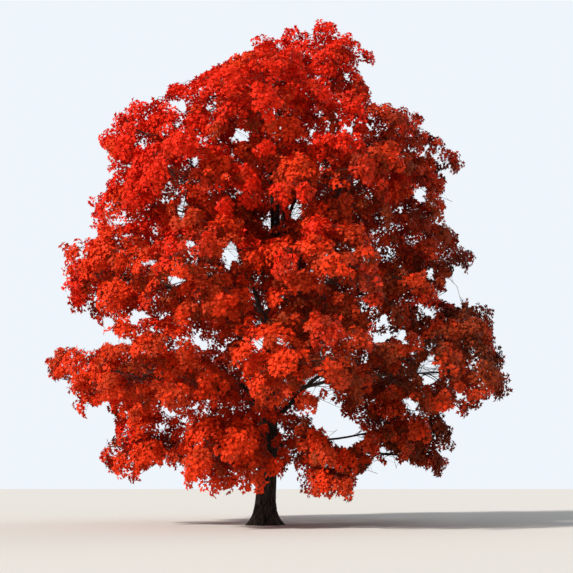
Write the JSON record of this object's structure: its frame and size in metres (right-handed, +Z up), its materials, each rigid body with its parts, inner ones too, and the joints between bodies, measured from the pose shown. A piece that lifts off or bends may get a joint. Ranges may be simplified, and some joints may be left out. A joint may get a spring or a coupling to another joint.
{
  "type": "mature red maple tree in autumn leaf",
  "caption": "Open-grown broadleaf tree with a short flared trunk, tiers of boughs and a full rounded crown of red autumn leaves.",
  "frame": {"origin": "middle of the flat cut under the trunk, at ground level", "axes": "+Z up along the trunk, +X to the right and -Y to the front as seen in the picture"},
  "size_m": [16.0893, 15.6433, 18.3254],
  "materials": {
    "bark": "rough, furrowed bark",
    "leaves_scarlet": "soft satin leaves",
    "leaves_crimson": "soft satin leaves",
    "leaves_orange": "soft satin leaves"
  },
  "bodies": {
    "root": {"trunk": "bark", "bough_high_1": "bark", "bough_high_2": "bark", "bough_high_3": "bark", "bough_low_1": "bark", "bough_low_2": "bark", "bough_low_3": "bark", "bough_low_4": "bark", "bough_middle_1": "bark", "bough_middle_2": "bark", "bough_middle_3": "bark", "bough_middle_4": "bark", "bough_shoulder_1": "bark", "bough_shoulder_2": "bark", "bough_shoulder_3": "bark", "bough_skirt_1": "bark", "bough_skirt_2": "bark", "bough_skirt_3": "bark", "bough_top_1": "bark", "bough_top_2": "bark", "leaves_high_1": "leaves_scarlet", "leaves_high_2": "leaves_scarlet", "leaves_high_3": "leaves_scarlet", "leaves_high_4": "leaves_crimson", "leaves_high_5": "leaves_crimson", "leaves_high_6": "leaves_scarlet", "leaves_low_1": "leaves_scarlet", "leaves_low_2": "leaves_scarlet", "leaves_low_3": "leaves_scarlet", "leaves_low_4": "leaves_crimson", "leaves_low_5": "leaves_crimson", "leaves_low_6": "leaves_crimson", "leaves_low_7": "leaves_scarlet", "leaves_low_8": "leaves_scarlet", "leaves_middle_1": "leaves_scarlet", "leaves_middle_2": "leaves_scarlet", "leaves_middle_3": "leaves_scarlet", "leaves_middle_4": "leaves_scarlet", "leaves_middle_5": "leaves_crimson", "leaves_middle_6": "leaves_crimson", "leaves_middle_7": "leaves_scarlet", "leaves_middle_8": "leaves_scarlet", "leaves_shoulder_1": "leaves_scarlet", "leaves_shoulder_2": "leaves_scarlet", "leaves_shoulder_3": "leaves_scarlet", "leaves_shoulder_4": "leaves_crimson", "leaves_shoulder_5": "leaves_scarlet", "leaves_shoulder_6": "leaves_scarlet", "leaves_skirt_1": "leaves_orange", "leaves_skirt_2": "leaves_orange", "leaves_skirt_3": "leaves_crimson", "leaves_skirt_4": "leaves_crimson", "leaves_skirt_5": "leaves_crimson", "leaves_skirt_6": "leaves_orange", "leaves_top_1": "leaves_scarlet", "leaves_top_2": "leaves_scarlet", "leaves_top_3": "leaves_scarlet", "leaves_top_4": "leaves_scarlet"}
  },
  "joints": []
}
